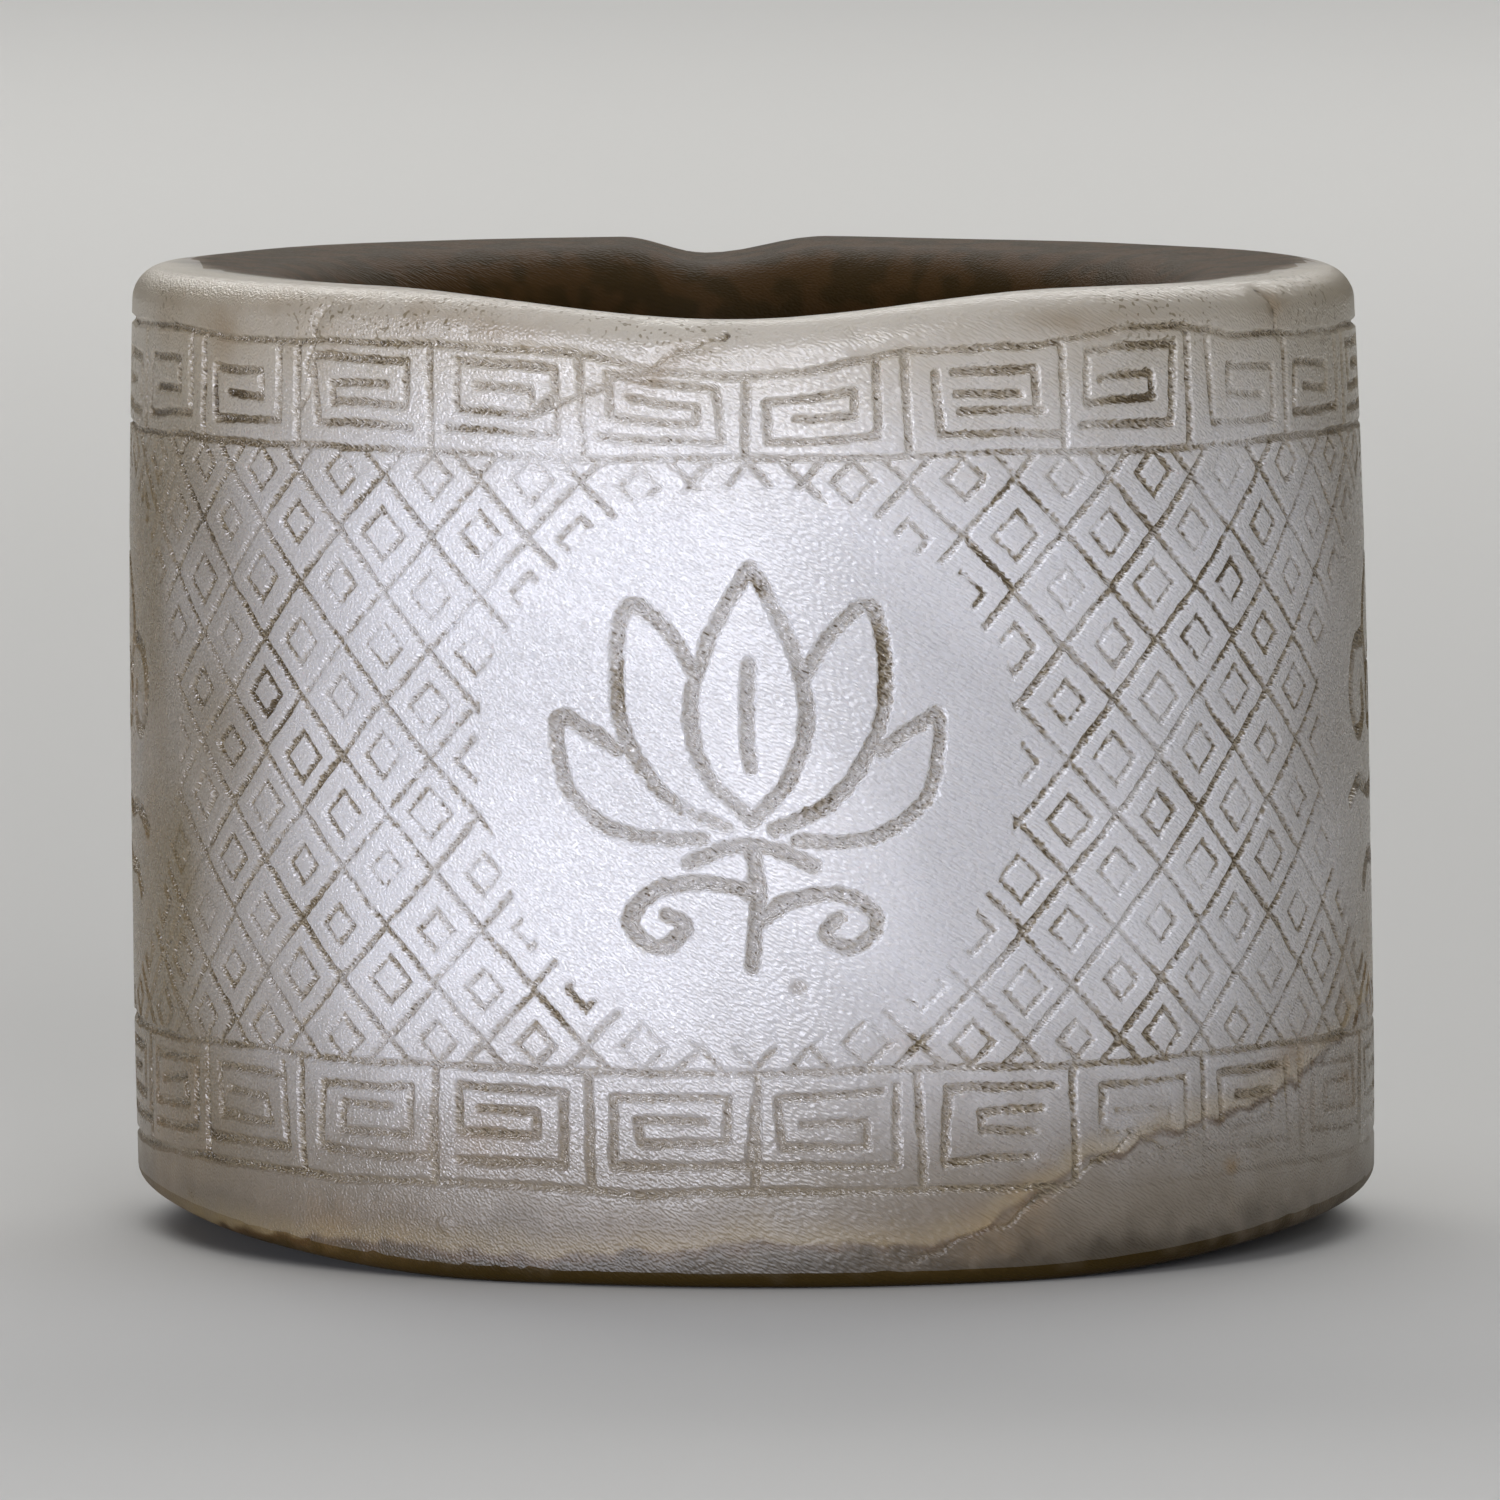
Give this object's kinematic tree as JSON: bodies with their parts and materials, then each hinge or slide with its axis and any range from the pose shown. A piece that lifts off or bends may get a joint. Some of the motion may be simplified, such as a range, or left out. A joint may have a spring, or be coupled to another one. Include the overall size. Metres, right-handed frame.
{
  "type": "archer's thumb ring",
  "caption": "Thick carved nephrite ring that stands on its end; a straight bore with flared mouths takes the thumb.",
  "frame": {"origin": "centre of the ring on the surface that it stands on, at the base end", "axes": "+Z along the bore, from the base to the rim; -Y is the front, where the rim dips and the front medallion is carved"},
  "size_m": [0.032, 0.032, 0.0247],
  "materials": {
    "jade": "satin"
  },
  "bodies": {
    "root": {"thumb_ring": "jade"}
  },
  "joints": []
}
